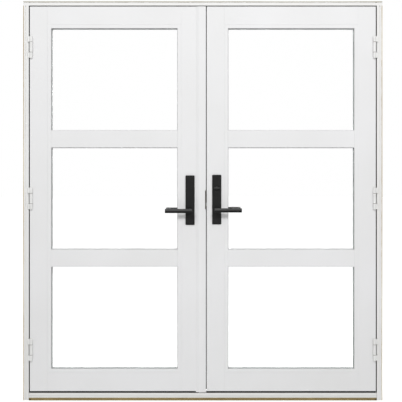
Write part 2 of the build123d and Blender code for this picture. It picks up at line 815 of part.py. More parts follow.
left_stile = mirrored(meeting_stile - mortise)
left_stile -= rod_through(passive_spindle_x, passive_spindle_z, leaf_depth, spindle_bore)
left_stile -= post(rod_x, middle_y, (low_z, high_z), rod_radius + running_gap)
parts["left_meeting_stile"] = left_stile
for name, span in rod_spans.items():
    parts[name] = post(rod_x, middle_y, span, rod_radius)

os.makedirs("parts", exist_ok=True)
for name, shape in parts.items():
    export_step(shape, f"parts/{name}.step")
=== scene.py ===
import math
import bpy
from mathutils import Matrix, Vector


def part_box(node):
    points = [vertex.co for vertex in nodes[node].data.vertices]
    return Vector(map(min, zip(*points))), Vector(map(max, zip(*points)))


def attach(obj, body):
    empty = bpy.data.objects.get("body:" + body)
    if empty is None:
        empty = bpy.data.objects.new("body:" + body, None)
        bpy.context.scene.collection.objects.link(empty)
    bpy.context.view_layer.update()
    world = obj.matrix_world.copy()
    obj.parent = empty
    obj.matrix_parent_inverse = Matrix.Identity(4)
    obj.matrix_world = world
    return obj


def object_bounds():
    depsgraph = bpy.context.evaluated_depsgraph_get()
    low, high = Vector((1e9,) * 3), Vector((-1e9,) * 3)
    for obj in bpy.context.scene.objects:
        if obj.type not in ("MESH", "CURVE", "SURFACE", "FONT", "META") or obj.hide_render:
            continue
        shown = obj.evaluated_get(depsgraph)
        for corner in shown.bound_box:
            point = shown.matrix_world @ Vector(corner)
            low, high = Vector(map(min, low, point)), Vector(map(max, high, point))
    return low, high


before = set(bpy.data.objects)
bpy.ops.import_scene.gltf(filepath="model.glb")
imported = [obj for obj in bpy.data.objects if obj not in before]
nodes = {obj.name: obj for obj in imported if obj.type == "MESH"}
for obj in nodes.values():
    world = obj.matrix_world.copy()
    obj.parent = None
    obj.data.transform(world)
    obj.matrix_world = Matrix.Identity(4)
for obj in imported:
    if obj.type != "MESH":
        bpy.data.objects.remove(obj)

# French doors in their frame, dressed in paint, powder coat, plated steel and glass.
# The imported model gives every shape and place; metres, room side at -Y, weather side at +Y.
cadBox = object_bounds()
print("stage: frame loaded,", len(nodes), "nodes")


def linearColor(hexCode):
    channels = [int(hexCode[start:start + 2], 16) / 255 for start in (1, 3, 5)]
    return (*[c / 12.92 if c <= 0.04045 else ((c + 0.055) / 1.055) ** 2.4 for c in channels], 1.0)


def perMetre(millimetres):
    return 1000 / millimetres  # texture scale whose pattern repeats at this real size


def plainValue(value):
    return linearColor(value) if isinstance(value, str) else value  # a string is a hex colour


def addNode(tree, kind, settings=None, links=None, output=0):
    # settings name the node's properties or inputs, and what comes back is one of its outputs
    node = tree.nodes.new(kind)
    for name, value in (settings or {}).items():
        if isinstance(name, str) and hasattr(node, name):
            setattr(node, name, value)
        else:
            node.inputs[name].default_value = plainValue(value)
    for name, source in (links or {}).items():
        tree.links.new(source, node.inputs[name])
    return node.outputs[output] if node.outputs else None


def newMaterial(name, look):
    material = bpy.data.materials.new(name)
    material.use_nodes = True
    shader = material.node_tree.nodes["Principled BSDF"]
    for socket, value in look.items():
        shader.inputs[socket].default_value = plainValue(value)
    return material, material.node_tree, shader


def wire(tree, shader, links):
    for socket, source in links.items():
        tree.links.new(source, shader.inputs[socket])


def dress(material, *names):
    for name in names:
        for slot in nodes[name].material_slots:
            slot.material = material


sides = ("left_", "right_")
paintIor = 1.5                # acrylic, powder coat and dry wood alike
grainUpright = (1, 1, 0.06)   # the grain runs up the piece, so the pattern is drawn out along Z
grainLevel = (0.06, 1, 1)     # the grain runs along a rail
drift = {"From Min": 0.3, "From Max": 0.7}   # where most of a noise pattern's values lie

# Planes that the finishes and the screws are placed by
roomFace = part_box("right_jamb")[0].y
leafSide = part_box("right_hinge_stile")[1]
leafMiddle = (roomFace + leafSide.y) / 2
hingePlate = 0.0025
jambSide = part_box("right_hinge_frame_leaves")[1].x - hingePlate
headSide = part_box("head_keeper")[0].z

# Primer: the edges that close against each other are only primed, and their grey is made darker
# than real primer as painted shade inside the closed gaps
primerAndGapShade = {"color": "#85827B", "inMm": 0.5, "toStopMm": 4.3, "overMm": 0.3}


def primerAndShadeInRebate(tree, axes, paint):
    # primer grey, darkened as painted shade, on the leaf's outer edges and on the jamb and head
    # faces opposite them, paint elsewhere
    across = addNode(tree, "ShaderNodeMath", {"operation": "ABSOLUTE"}, {0: axes[0]})
    over = primerAndGapShade["overMm"] / 1000
    gaps = [addNode(tree, "ShaderNodeMath", {
        "operation": "COMPARE", 1: (low + high) / 2, 2: (high - low) / 2 + over}, {0: place})
        for place, low, high in ((across, leafSide.x, jambSide), (axes[2], leafSide.z, headSide))]
    inGap = addNode(tree, "ShaderNodeMath", {"operation": "MAXIMUM"}, {0: gaps[0], 1: gaps[1]})
    first = roomFace + primerAndGapShade["inMm"] / 1000
    last = leafSide.y + primerAndGapShade["toStopMm"] / 1000
    deep = addNode(tree, "ShaderNodeMath", {
        "operation": "COMPARE", 1: (first + last) / 2, 2: (last - first) / 2}, {0: axes[1]})
    share = addNode(tree, "ShaderNodeMath", {"operation": "MULTIPLY"}, {0: inGap, 1: deep})
    return addNode(tree, "ShaderNodeMix", {"data_type": "RGBA", 7: primerAndGapShade["color"]}, {
        "Factor": share, 6: paint}, 2)


def cloudedTone(tree, point, look):
    # two tones of one finish that drift into each other
    cloud = addNode(tree, "ShaderNodeTexNoise", {"Scale": perMetre(look["cloudMm"])}, {
        "Vector": point})
    share = addNode(tree, "ShaderNodeMapRange", drift, {"Value": cloud})
    return addNode(tree, "ShaderNodeMix", {
        "data_type": "RGBA", 6: look["color"], 7: look["shade"]}, {"Factor": share}, 2)


def sprayedShell(tree, point, stretch, look):
    # uneven sheen and orange peel, over wood grain that tells through
    peel = addNode(tree, "ShaderNodeTexNoise", {
        "Scale": perMetre(look["peelMm"]), "Detail": 1.0}, {"Vector": point})
    satin = addNode(tree, "ShaderNodeMapRange", {
        **drift, "To Min": look["roughness"][0], "To Max": look["roughness"][1]}, {"Value": peel})
    along = addNode(tree, "ShaderNodeMapping", {"Scale": stretch}, {"Vector": point})
    fibre = addNode(tree, "ShaderNodeTexNoise", {
        "Scale": perMetre(look["grainMm"]), "Detail": 4.0}, {"Vector": along})
    under = addNode(tree, "ShaderNodeBump", {"Distance": look["grainDepthMm"] / 1000}, {
        "Height": fibre})
    shell = addNode(tree, "ShaderNodeBump", {"Distance": look["peelDepthMm"] / 1000}, {
        "Height": peel, "Normal": under})
    return satin, shell


# Sprayed acrylic enamel on pine: a satin shell with a faint orange peel, the grain just telling
enamel = {
    "color": "#EBEBEC", "shade": "#E6E6E6", "cloudMm": 420, "roughness": (0.46, 0.56),
    "peelMm": 2.6, "peelDepthMm": 0.05, "grainMm": 5.0, "grainDepthMm": 0.06}


def sprayedEnamel(name, grain):
    material, tree, shader = newMaterial(name, {"IOR": paintIor})
    point = addNode(tree, "ShaderNodeTexCoord", output="Object")
    axes = addNode(tree, "ShaderNodeSeparateXYZ", None, {0: point}).node.outputs
    color = primerAndShadeInRebate(tree, axes, cloudedTone(tree, point, enamel))
    satin, shell = sprayedShell(tree, point, grain, enamel)
    wire(tree, shader, {"Base Color": color, "Roughness": satin, "Normal": shell})
    return material


# Bare pine, finger jointed: warm tan with darker late wood, each length of stock its own tone.
# Its rings are drawn three times as wide as real ones, so that they show
pine = {
    "light": "#CFC2A4", "dark": "#B6A47F", "tan": "#9C8250", "roughness": 0.72,
    "ringMm": 20, "warpMm": 40, "twist": 7.0, "lateWood": (0.25, 0.95),
    "stockMm": 430, "firstStock": 153, "rightStock": 177, "stockShare": 0.75, "middleMm": 1}


def pineColor(tree, point, axes, along, light, dark, deep):
    # along is the axis of the grain, 0 for X and 2 for Z.
    # At scale 1 the bands of a Wave texture lie about pi / 10 apart
    grain = addNode(tree, "ShaderNodeMapping", {
        "Scale": grainLevel if along == 0 else grainUpright}, {"Vector": point})
    warp = addNode(tree, "ShaderNodeTexNoise", {
        "Scale": perMetre(pine["warpMm"]), "Detail": 3.0}, {"Vector": grain})
    rings = addNode(tree, "ShaderNodeTexWave", {
        "bands_direction": "DIAGONAL", "Scale": perMetre(pine["ringMm"]) * math.pi / 10,
        "Distortion": pine["twist"], "Detail": 3.0}, {"Vector": grain, "Phase Offset": warp}, "Fac")
    late = addNode(tree, "ShaderNodeMapRange", {
        "From Min": pine["lateWood"][0], "From Max": pine["lateWood"][1]}, {"Value": rings})
    wood = addNode(tree, "ShaderNodeMix", {
        "data_type": "RGBA", 6: light, 7: dark}, {"Factor": late}, 2)
    lengths = addNode(tree, "ShaderNodeMath", {
        "operation": "MULTIPLY", 1: perMetre(pine["stockMm"])}, {0: axes[along]})
    count = addNode(tree, "ShaderNodeMath", {"operation": "FLOOR"}, {0: lengths})
    first = addNode(tree, "ShaderNodeMapRange", {
        "From Min": -pine["middleMm"] / 1000, "From Max": pine["middleMm"] / 1000,
        "To Min": pine["firstStock"], "To Max": pine["rightStock"]}, {"Value": axes[0]})
    number = addNode(tree, "ShaderNodeMath", {"operation": "ADD"}, {0: count, 1: first})
    stock = addNode(tree, "ShaderNodeTexWhiteNoise", {"noise_dimensions": "1D"}, {"W": number})
    share = addNode(tree, "ShaderNodeMath", {
        "operation": "MULTIPLY", 1: pine["stockShare"]}, {0: stock})
    return addNode(tree, "ShaderNodeMix", {"data_type": "RGBA", 7: deep}, {
        "Factor": share, 6: wood}, 2)


# Frame paint: the same enamel, run out on the outer edge, where the jambs show bare pine
# and the head old primer
framePaint = {
    "color": "#EDEDEC", "shade": "#E8E7E5", "cloudMm": 380, "roughness": (0.46, 0.56),
    "primed": ("#CFCDC4", "#BFBCB1", "#BAB6A8"), "jambEdgeMm": 3.6, "headEdgeMm": 5.5,
    "peelMm": 2.6, "peelDepthMm": 0.05, "grainMm": 4.0, "grainDepthMm": 0.07,
    "wanderMm": 0.7, "wanderSizeMm": 35}


def enamelOverPine(name, along):
    material, tree, shader = newMaterial(name, {"IOR": paintIor})
    point = addNode(tree, "ShaderNodeTexCoord", output="Object")
    axes = addNode(tree, "ShaderNodeSeparateXYZ", None, {0: point}).node.outputs
    if along == 0:
        outer, edge = axes[2], cadBox[1].z - framePaint["headEdgeMm"] / 1000
        wood, stretch = framePaint["primed"], grainLevel
    else:
        outer = addNode(tree, "ShaderNodeMath", {"operation": "ABSOLUTE"}, {0: axes[0]})
        edge = cadBox[1].x - framePaint["jambEdgeMm"] / 1000
        wood, stretch = (pine["light"], pine["dark"], pine["tan"]), grainUpright
    ragged = addNode(tree, "ShaderNodeTexNoise", {
        "Scale": perMetre(framePaint["wanderSizeMm"]), "Detail": 3.0}, {"Vector": point})
    wander = framePaint["wanderMm"] / 1000
    shift = addNode(tree, "ShaderNodeMapRange", {
        **drift, "To Min": -wander, "To Max": wander}, {"Value": ragged})
    shifted = addNode(tree, "ShaderNodeMath", {"operation": "ADD"}, {0: outer, 1: shift})
    bare = addNode(tree, "ShaderNodeMath", {"operation": "GREATER_THAN", 1: edge}, {0: shifted})
    painted = primerAndShadeInRebate(tree, axes, cloudedTone(tree, point, framePaint))
    color = addNode(tree, "ShaderNodeMix", {"data_type": "RGBA"}, {
        "Factor": bare, 6: painted, 7: pineColor(tree, point, axes, along, *wood)}, 2)
    satin, shell = sprayedShell(tree, point, stretch, framePaint)
    rough = addNode(tree, "ShaderNodeMix", {"data_type": "FLOAT", 3: pine["roughness"]}, {
        0: bare, 2: satin})
    wire(tree, shader, {"Base Color": color, "Roughness": rough, "Normal": shell})
    return material


dress(sprayedEnamel("SatinEnamelUpright", grainUpright), "astragal", *[
    side + part for side in sides for part in ("hinge_stile", "meeting_stile")])
dress(sprayedEnamel("SatinEnamelLevel", grainLevel), *[
    side + part for side in sides
    for part in ("top_rail", "bottom_rail", "glazing_beads", "divider_bars")])
dress(enamelOverPine("EnamelOverPineUpright", 2), "left_jamb", "right_jamb")
dress(enamelOverPine("EnamelOverPineLevel", 0), "head_jamb")
print("stage: leaf and frame paint")


# Weathered pine: the sill's base has gone brown where it takes the wet
sillBase = {
    "light": "#A08F63", "dark": "#6E5E38", "roughness": 0.8,
    "stainMm": 90, "stainLong": (0.3, 1, 1), "stainShare": 0.4,
    "fibreMm": 2.4, "fibreDepthMm": 0.25, "fibreShare": 0.6}


def weatheredPine():
    material, tree, shader = newMaterial("WeatheredPine", {
        "Roughness": sillBase["roughness"], "IOR": paintIor})
    point = addNode(tree, "ShaderNodeTexCoord", output="Object")
    along = addNode(tree, "ShaderNodeMapping", {"Scale": grainLevel}, {"Vector": point})
    fibre = addNode(tree, "ShaderNodeTexNoise", {
        "Scale": perMetre(sillBase["fibreMm"]), "Detail": 5.0}, {"Vector": along})
    lines = addNode(tree, "ShaderNodeMapRange", {
        **drift, "To Max": sillBase["fibreShare"]}, {"Value": fibre})
    wide = addNode(tree, "ShaderNodeMapping", {"Scale": sillBase["stainLong"]}, {"Vector": point})
    stain = addNode(tree, "ShaderNodeTexNoise", {
        "Scale": perMetre(sillBase["stainMm"]), "Detail": 3.0}, {"Vector": wide})
    wet = addNode(tree, "ShaderNodeMapRange", {
        **drift, "To Max": sillBase["stainShare"]}, {"Value": stain})
    share = addNode(tree, "ShaderNodeMath", {"operation": "ADD", "use_clamp": True}, {
        0: lines, 1: wet})
    color = addNode(tree, "ShaderNodeMix", {
        "data_type": "RGBA", 6: sillBase["light"], 7: sillBase["dark"]}, {"Factor": share}, 2)
    raised = addNode(tree, "ShaderNodeBump", {"Distance": sillBase["fibreDepthMm"] / 1000}, {
        "Height": fibre})
    wire(tree, shader, {"Base Color": color, "Normal": raised})
    return material


# White powder-coated aluminium sill, extruded with anti-slip ribs on its slope
sillCoat = {
    "color": "#E6E6E4", "shade": "#DCDCD9", "roughness": (0.34, 0.50), "streakMm": 6,
    "streakLong": (0.02, 1, 1), "ribMm": 8.0, "ribDepthMm": 0.5, "ribFlank": (0.2, 0.8),
    "peelMm": 1.6, "peelDepthMm": 0.04}


def coatedExtrusion():
    material, tree, shader = newMaterial("PowderCoatedAluminiumSill", {"IOR": paintIor})
    point = addNode(tree, "ShaderNodeTexCoord", output="Object")
    drawn = addNode(tree, "ShaderNodeMapping", {"Scale": sillCoat["streakLong"]}, {"Vector": point})
    streak = addNode(tree, "ShaderNodeTexNoise", {
        "Scale": perMetre(sillCoat["streakMm"]), "Detail": 3.0}, {"Vector": drawn})
    share = addNode(tree, "ShaderNodeMapRange", drift, {"Value": streak})
    color = addNode(tree, "ShaderNodeMix", {
        "data_type": "RGBA", 6: sillCoat["color"], 7: sillCoat["shade"]}, {"Factor": share}, 2)
    rough = addNode(tree, "ShaderNodeMapRange", {
        **drift, "To Min": sillCoat["roughness"][0], "To Max": sillCoat["roughness"][1]}, {
        "Value": streak})
    depth = addNode(tree, "ShaderNodeSeparateXYZ", None, {0: point}, 1)
    turns = addNode(tree, "ShaderNodeMath", {
        "operation": "MULTIPLY", 1: 2 * math.pi * perMetre(sillCoat["ribMm"])}, {0: depth})
    waves = addNode(tree, "ShaderNodeMath", {"operation": "SINE"}, {0: turns})
    ribs = addNode(tree, "ShaderNodeMapRange", {
        "From Min": sillCoat["ribFlank"][0], "From Max": sillCoat["ribFlank"][1]}, {"Value": waves})
    onSlope = addNode(tree, "ShaderNodeMath", {"operation": "GREATER_THAN", 1: 0.0}, {0: depth})
    raised = addNode(tree, "ShaderNodeMath", {"operation": "MULTIPLY"}, {0: ribs, 1: onSlope})
    under = addNode(tree, "ShaderNodeBump", {"Distance": sillCoat["ribDepthMm"] / 1000}, {
        "Height": raised})
    peel = addNode(tree, "ShaderNodeTexNoise", {
        "Scale": perMetre(sillCoat["peelMm"]), "Detail": 1.0}, {"Vector": point})
    shell = addNode(tree, "ShaderNodeBump", {"Distance": sillCoat["peelDepthMm"] / 1000}, {
        "Height": peel, "Normal": under})
    wire(tree, shader, {"Base Color": color, "Roughness": rough, "Normal": shell})
    return material


# Co-extruded PVC cap: smooth white plastic, dulled where feet and sweeps rub it
capPlastic = {
    "color": "#E9E9E7", "worn": "#DAD9D5", "roughness": (0.32, 0.55), "ior": 1.53, "topMm": 0.8,
    "scuffMm": 55, "scuffLong": (0.35, 1, 1), "scuffed": (0.45, 0.7),
    "scratchMm": 1.8, "scratchLong": (1, 0.15, 1), "scratchDepthMm": 0.03}


def scuffedPvc():
    material, tree, shader = newMaterial("CoextrudedPvcCap", {"IOR": capPlastic["ior"]})
    point = addNode(tree, "ShaderNodeTexCoord", output="Object")
    wide = addNode(tree, "ShaderNodeMapping", {"Scale": capPlastic["scuffLong"]}, {"Vector": point})
    scuff = addNode(tree, "ShaderNodeTexNoise", {
        "Scale": perMetre(capPlastic["scuffMm"]), "Detail": 5.0}, {"Vector": wide})
    patch = addNode(tree, "ShaderNodeMapRange", {
        "From Min": capPlastic["scuffed"][0], "From Max": capPlastic["scuffed"][1]}, {
        "Value": scuff})
    height = addNode(tree, "ShaderNodeSeparateXYZ", None, {0: point}, 2)
    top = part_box("threshold_cap")[1].z - capPlastic["topMm"] / 1000
    onTop = addNode(tree, "ShaderNodeMath", {"operation": "GREATER_THAN", 1: top}, {0: height})
    worn = addNode(tree, "ShaderNodeMath", {"operation": "MULTIPLY"}, {0: patch, 1: onTop})
    color = addNode(tree, "ShaderNodeMix", {
        "data_type": "RGBA", 6: capPlastic["color"], 7: capPlastic["worn"]}, {"Factor": worn}, 2)
    rough = addNode(tree, "ShaderNodeMapRange", {
        "To Min": capPlastic["roughness"][0], "To Max": capPlastic["roughness"][1]}, {
        "Value": worn})
    trodden = addNode(tree, "ShaderNodeMapping", {"Scale": capPlastic["scratchLong"]}, {
        "Vector": point})
    scratch = addNode(tree, "ShaderNodeTexNoise", {
        "Scale": perMetre(capPlastic["scratchMm"]), "Detail": 3.0}, {"Vector": trodden})
    scored = addNode(tree, "ShaderNodeBump", {"Distance": capPlastic["scratchDepthMm"] / 1000}, {
        "Height": scratch})
    wire(tree, shader, {"Base Color": color, "Roughness": rough, "Normal": scored})
    return material


capFinish = scuffedPvc()
dress(weatheredPine(), "sill_base")
dress(coatedExtrusion(), "sill")
dress(capFinish, "threshold_cap")
print("stage: sill")


# Clear float glass: colourless face on, faintly green at a glancing look, with the roller wave
# of toughening
glass = {
    "clear": "#FFFFFF", "green": "#DDEFE8", "glance": 0.25, "ior": 1.52,
    "waveMm": 260, "waveLong": (0.3, 1, 1), "waveDepthMm": 0.02}


def floatGlass():
    material, tree, shader = newMaterial("ClearFloatGlass", {
        "Roughness": 0.0, "IOR": glass["ior"], "Transmission Weight": 1.0})
    glance = addNode(tree, "ShaderNodeLayerWeight", {"Blend": glass["glance"]}, None, "Facing")
    color = addNode(tree, "ShaderNodeMix", {
        "data_type": "RGBA", 6: glass["clear"], 7: glass["green"]}, {"Factor": glance}, 2)
    point = addNode(tree, "ShaderNodeTexCoord", output="Object")
    rolled = addNode(tree, "ShaderNodeMapping", {"Scale": glass["waveLong"]}, {"Vector": point})
    wave = addNode(tree, "ShaderNodeTexNoise", {
        "Scale": perMetre(glass["waveMm"]), "Detail": 0.0}, {"Vector": rolled})
    surface = addNode(tree, "ShaderNodeBump", {"Distance": glass["waveDepthMm"] / 1000}, {
        "Height": wave})
    wire(tree, shader, {"Base Color": color, "Normal": surface})
    lampRay = addNode(tree, "ShaderNodeLightPath", output="Is Shadow Ray")
    through = addNode(tree, "ShaderNodeBsdfTransparent")   # lamps light what is behind the pane
    pane = addNode(tree, "ShaderNodeMixShader", None, {
        0: lampRay, 1: shader.outputs[0], 2: through})
    tree.links.new(pane, tree.nodes["Material Output"].inputs["Surface"])
    return material


def drawnLines(tree, point, stretch, look):
    # sheen and relief of metal that was drawn or rolled. The lines are coarser than real ones,
    # so that they show
    drawn = addNode(tree, "ShaderNodeMapping", {"Scale": stretch}, {"Vector": point})
    lines = addNode(tree, "ShaderNodeTexNoise", {"Scale": perMetre(look["lineMm"])}, {
        "Vector": drawn})
    rough = addNode(tree, "ShaderNodeMapRange", {
        **drift, "To Min": look["roughness"][0], "To Max": look["roughness"][1]}, {"Value": lines})
    scored = addNode(tree, "ShaderNodeBump", {"Distance": look["lineDepthMm"] / 1000}, {
        "Height": lines})
    return rough, scored


# Mill-finish aluminium spacer: drawn lines along the bar and a dull grey sheen
spacerMetal = {
    "color": "#A2A6A6", "roughness": (0.56, 0.72), "lineMm": 0.5, "lineLong": (1, 1, 0.04),
    "lineDepthMm": 0.02}


def millAluminium():
    material, tree, shader = newMaterial("MillAluminiumSpacer", {
        "Metallic": 1.0, "Base Color": spacerMetal["color"]})
    point = addNode(tree, "ShaderNodeTexCoord", output="Object")
    rough, scored = drawnLines(tree, point, spacerMetal["lineLong"], spacerMetal)
    wire(tree, shader, {"Roughness": rough, "Normal": scored})
    return material


# Foamed glazing tape and extruded seals: matt, fine grained, a little lighter where dust settles
rubbers = {
    "GreyGlazingTape": {"color": "#7B7D7E", "dusty": "#8C8D8C", "grainMm": 1.2, "depthMm": 0.10},
    "BrownBulbWeatherstrip": {
        "color": "#2B2723", "dusty": "#3A3631", "grainMm": 0.8, "depthMm": 0.06},
    "BlackFinnedSweep": {"color": "#141312", "dusty": "#211F1D", "grainMm": 0.9, "depthMm": 0.05}}
rubberDust = {"sizeMm": 45, "long": (0.5, 1, 0.5), "settled": (0.45, 0.75),
              "roughness": 0.75, "ior": 1.52}


def foamedRubber(name):
    look = rubbers[name]
    material, tree, shader = newMaterial(name, {
        "IOR": rubberDust["ior"], "Roughness": rubberDust["roughness"]})
    point = addNode(tree, "ShaderNodeTexCoord", output="Object")
    wide = addNode(tree, "ShaderNodeMapping", {"Scale": rubberDust["long"]}, {"Vector": point})
    dust = addNode(tree, "ShaderNodeTexNoise", {
        "Scale": perMetre(rubberDust["sizeMm"]), "Detail": 4.0}, {"Vector": wide})
    share = addNode(tree, "ShaderNodeMapRange", {
        "From Min": rubberDust["settled"][0], "From Max": rubberDust["settled"][1]}, {
        "Value": dust})
    color = addNode(tree, "ShaderNodeMix", {
        "data_type": "RGBA", 6: look["color"], 7: look["dusty"]}, {"Factor": share}, 2)
    grain = addNode(tree, "ShaderNodeTexNoise", {
        "Scale": perMetre(look["grainMm"]), "Detail": 3.0}, {"Vector": point})
    cells = addNode(tree, "ShaderNodeBump", {"Distance": look["depthMm"] / 1000}, {
        "Height": grain})
    wire(tree, shader, {"Base Color": color, "Normal": cells})
    return material


dress(floatGlass(), *[side + pane for side in sides for pane in ("inner_pane", "outer_pane")])
dress(millAluminium(), *[side + "spacer_grid" for side in sides])
dress(foamedRubber("GreyGlazingTape"), *[side + "glazing_seals" for side in sides])
dress(foamedRubber("BrownBulbWeatherstrip"), "frame_weatherstrips", "astragal_seal")
dress(foamedRubber("BlackFinnedSweep"), *[side + "door_sweep" for side in sides])
print("stage: glass and seals")


def powderTooth(tree, point, look, under):
    # the fine tooth of a baked powder, coarser than the real one so that it shows
    grain = addNode(tree, "ShaderNodeTexNoise", {"Scale": perMetre(look["grainMm"])}, {
        "Vector": point})
    rough = addNode(tree, "ShaderNodeMapRange", {
        **drift, "To Min": look["roughness"][0], "To Max": look["roughness"][1]}, {"Value": grain})
    tooth = addNode(tree, "ShaderNodeBump", {"Distance": look["depthMm"] / 1000}, {
        "Height": grain, **under})
    return rough, tooth


# White powder coat on steel hinges: a shade softer than the paint, with a fine even texture, and
# grey painted shade in the joints where the knuckles turn against each other
hingeCoat = {
    "color": "#ECECEB", "shade": "#E2E2E0", "cloudMm": 28, "roughness": (0.28, 0.40),
    "grainMm": 0.9, "depthMm": 0.04, "jointShade": "#8E8C86", "jointShadeMm": 2.2, "hingeMm": 108,
    "jointMm": 26}
hingeLow, hingeHigh = (corner.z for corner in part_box("right_hinge_frame_leaves"))
hingeHalf = hingeCoat["hingeMm"] / 2000
hingeHeights = (hingeLow + hingeHalf, (hingeLow + hingeHigh) / 2, hingeHigh - hingeHalf)


def knuckleJointShade(tree, point):
    # 1 in the joints above and below each middle knuckle, where grey is painted as shade
    axes = addNode(tree, "ShaderNodeSeparateXYZ", None, {0: point}).node.outputs
    joint = hingeCoat["jointMm"] / 1000
    rings = [addNode(tree, "ShaderNodeMath", {
        "operation": "COMPARE", 1: height, 2: hingeCoat["jointShadeMm"] / 2000}, {0: axes[2]})
        for middle in hingeHeights for height in (middle - joint, middle + joint)]
    share = rings[0]
    for ring in rings[1:]:
        share = addNode(tree, "ShaderNodeMath", {"operation": "MAXIMUM"}, {0: share, 1: ring})
    barrel = addNode(tree, "ShaderNodeMath", {"operation": "LESS_THAN", 1: roomFace}, {0: axes[1]})
    return addNode(tree, "ShaderNodeMath", {"operation": "MULTIPLY"}, {0: share, 1: barrel})


def whitePowderCoat():
    material, tree, shader = newMaterial("WhitePowderCoat", {"IOR": paintIor})
    point = addNode(tree, "ShaderNodeTexCoord", output="Object")
    # grey painted shade in the knuckle joints, on the barrels only
    color = addNode(tree, "ShaderNodeMix", {"data_type": "RGBA", 7: hingeCoat["jointShade"]}, {
        "Factor": knuckleJointShade(tree, point), 6: cloudedTone(tree, point, hingeCoat)}, 2)
    rough, tooth = powderTooth(tree, point, hingeCoat, {})
    wire(tree, shader, {"Base Color": color, "Roughness": rough, "Normal": tooth})
    return material


# How well the bevelled normal still matches the true one where a coat is rubbed, and where not
arrisWear = {"rubbed": 0.75, "untouched": 0.97, "samples": 4}


def rubbedArris(tree, radiusMm):
    # a softened normal, and how near to an arris the surface is
    soft = addNode(tree, "ShaderNodeBevel", {
        "samples": arrisWear["samples"], "Radius": radiusMm / 1000})
    true = addNode(tree, "ShaderNodeNewGeometry", output="True Normal")
    match = addNode(tree, "ShaderNodeVectorMath", {"operation": "DOT_PRODUCT"}, {
        0: soft, 1: true}, "Value")
    share = addNode(tree, "ShaderNodeMapRange", {
        "From Min": arrisWear["rubbed"], "From Max": arrisWear["untouched"],
        "To Min": 1.0, "To Max": 0.0}, {"Value": match})
    return soft, share


# Satin black powder coat on cast zinc: deep charcoal, a fine tooth, arrises rubbed a little
# lighter. Levers and thumbturn take a darker copy of the coat as painted shade for their
# undersides, and a grey painted highlight on the upper side
blackCoat = {
    "plate": {"color": "#191919", "shade": "#202020", "cloudMm": 18},
    # the grip coat is darker than the plate's: painted shade for the lever's underside
    "grip": {"color": "#070707", "shade": "#0C0C0C", "cloudMm": 18},
    "rubbed": "#3A3A3B", "patchMm": 12, "patchShare": (0.2, 0.8), "arrisMm": 0.8,
    "paintedHighlight": "#505050", "highlightPatchMm": 30, "highlightShare": (0.8, 1.0), "upper": (-0.25, 0.4),
    "grainMm": 0.7, "depthMm": 0.05, "roughness": (0.38, 0.50), "shine": 0.12}


def blackPowderCoat(name, part):
    material, tree, shader = newMaterial(name, {
        "IOR": paintIor, "Specular IOR Level": blackCoat["shine"]})
    point = addNode(tree, "ShaderNodeTexCoord", output="Object")
    soft, arris = rubbedArris(tree, blackCoat["arrisMm"])
    uneven = addNode(tree, "ShaderNodeTexNoise", {
        "Scale": perMetre(blackCoat["patchMm"]), "Detail": 3.0}, {"Vector": point})
    low, high = blackCoat["patchShare"]
    patch = addNode(tree, "ShaderNodeMapRange", {**drift, "To Min": low, "To Max": high}, {
        "Value": uneven})
    worn = addNode(tree, "ShaderNodeMath", {"operation": "MULTIPLY"}, {0: arris, 1: patch})
    color = addNode(tree, "ShaderNodeMix", {"data_type": "RGBA", 7: blackCoat["rubbed"]}, {
        "Factor": worn, 6: cloudedTone(tree, point, blackCoat[part])}, 2)
    # levers and thumbturn: grey painted highlight on the upward faces, in patches
    if part == "grip":
        facing = addNode(tree, "ShaderNodeTexCoord", output="Normal")
        upward = addNode(tree, "ShaderNodeSeparateXYZ", None, {0: facing}, 2)
        upper = addNode(tree, "ShaderNodeMapRange", {
            "From Min": blackCoat["upper"][0], "From Max": blackCoat["upper"][1]}, {
            "Value": upward})
        highlightPatches = addNode(tree, "ShaderNodeTexNoise", {
            "Scale": perMetre(blackCoat["highlightPatchMm"])}, {"Vector": point})
        low, high = blackCoat["highlightShare"]
        most = addNode(tree, "ShaderNodeMapRange", {**drift, "To Min": low, "To Max": high}, {
            "Value": highlightPatches})
        paintedTopHighlight = addNode(tree, "ShaderNodeMath", {"operation": "MULTIPLY"}, {0: upper, 1: most})
        color = addNode(tree, "ShaderNodeMix", {"data_type": "RGBA", 7: blackCoat["paintedHighlight"]}, {
            "Factor": paintedTopHighlight, 6: color}, 2)
    rough, tooth = powderTooth(tree, point, blackCoat, {"Normal": soft})
    wire(tree, shader, {"Base Color": color, "Roughness": rough, "Normal": tooth})
    return material


# Oil-rubbed bronze on the strike, faceplate and key plug: brown black, bare on the arrises
bronze = {
    "color": "#2A2420", "shade": "#3A3029", "bare": "#7A5A3C", "metal": 0.7,
    "cloudMm": 9, "depthMm": 0.03, "arrisMm": 0.6, "roughness": (0.50, 0.64)}


def rubbedBronze():
    material, tree, shader = newMaterial("OilRubbedBronze", {"Metallic": bronze["metal"]})
    point = addNode(tree, "ShaderNodeTexCoord", output="Object")
    cloud = addNode(tree, "ShaderNodeTexNoise", {
        "Scale": perMetre(bronze["cloudMm"]), "Detail": 4.0}, {"Vector": point})
    tone = addNode(tree, "ShaderNodeMapRange", drift, {"Value": cloud})
    body = addNode(tree, "ShaderNodeMix", {
        "data_type": "RGBA", 6: bronze["color"], 7: bronze["shade"]}, {"Factor": tone}, 2)
    soft, arris = rubbedArris(tree, bronze["arrisMm"])
    color = addNode(tree, "ShaderNodeMix", {"data_type": "RGBA", 7: bronze["bare"]}, {
        "Factor": arris, 6: body}, 2)
    rough = addNode(tree, "ShaderNodeMapRange", {
        **drift, "To Min": bronze["roughness"][0], "To Max": bronze["roughness"][1]}, {
        "Value": cloud})
    patina = addNode(tree, "ShaderNodeBump", {"Distance": bronze["depthMm"] / 1000}, {
        "Height": cloud, "Normal": soft})
    wire(tree, shader, {"Base Color": color, "Roughness": rough, "Normal": patina})
    return material


